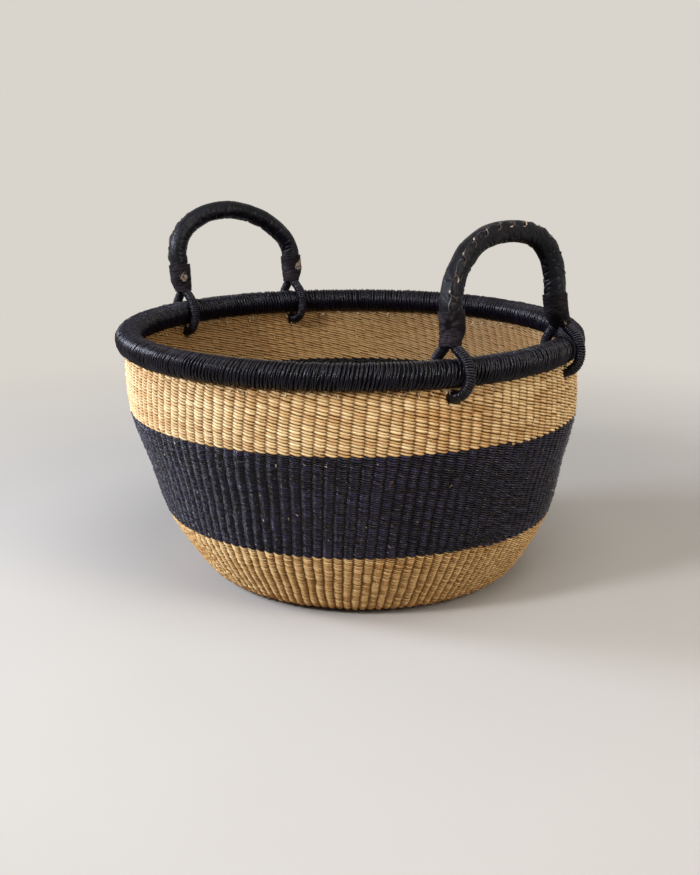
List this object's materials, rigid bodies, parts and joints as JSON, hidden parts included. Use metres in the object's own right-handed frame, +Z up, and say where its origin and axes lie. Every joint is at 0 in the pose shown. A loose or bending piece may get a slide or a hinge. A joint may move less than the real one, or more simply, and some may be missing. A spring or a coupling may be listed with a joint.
{
  "type": "woven catch-all basket",
  "caption": "Round twined grass basket with a dyed band, a black wound rim and leather covered carrying handles that pivot on the rim.",
  "frame": {"origin": "centre of the base's flat underside, on the surface that the basket stands on", "axes": "+Z up; +X out through the front handle, so the two handles lie along X; +Y to the right of the front handle as seen from outside it"},
  "size_m": [0.4307, 0.4226, 0.3314],
  "materials": {
    "natural_grass": "matt dry grass, undyed, twined",
    "indigo_grass": "matt grass dyed blue-black, twined, with pale flecks",
    "black_grass": "black grass strand, tightly wound, slightly waxy",
    "raw_grass": "straight grass bundle, hidden",
    "black_leather": "soft black goat leather, creased, worn pale on high spots",
    "thong": "narrow black leather thong with tan cut edges"
  },
  "bodies": {
    "basket": {"base_weave": "natural_grass", "lower_band": "natural_grass", "middle_band": "indigo_grass", "upper_band": "natural_grass", "rim_core": "raw_grass", "rim_wrap": "black_grass"},
    "front_handle": {"front_handle_core": "raw_grass", "front_handle_leather": "black_leather", "front_handle_lacing": "thong", "front_handle_left_cuff": "black_leather", "front_handle_left_eye": "black_grass", "front_handle_left_eye_wrap": "black_grass", "front_handle_right_cuff": "black_leather", "front_handle_right_eye": "black_grass", "front_handle_right_eye_wrap": "black_grass"},
    "back_handle": {"back_handle_core": "raw_grass", "back_handle_leather": "black_leather", "back_handle_lacing": "thong", "back_handle_left_cuff": "black_leather", "back_handle_left_eye": "black_grass", "back_handle_left_eye_wrap": "black_grass", "back_handle_right_cuff": "black_leather", "back_handle_right_eye": "black_grass", "back_handle_right_eye_wrap": "black_grass"}
  },
  "joints": [
    {"name": "front_handle_pivot", "type": "hinge", "parent": "basket", "child": "front_handle", "pos_m": [0.17926, -0.00007, 0.219], "axis": [-0.048, 0.9988, 0], "range_deg": [-102, 118]},
    {"name": "back_handle_pivot", "type": "hinge", "parent": "basket", "child": "back_handle", "pos_m": [-0.1966, 0.0058, 0.219], "axis": [-0.0785, -0.9969, 0], "range_deg": [-118, 102]}
  ]
}
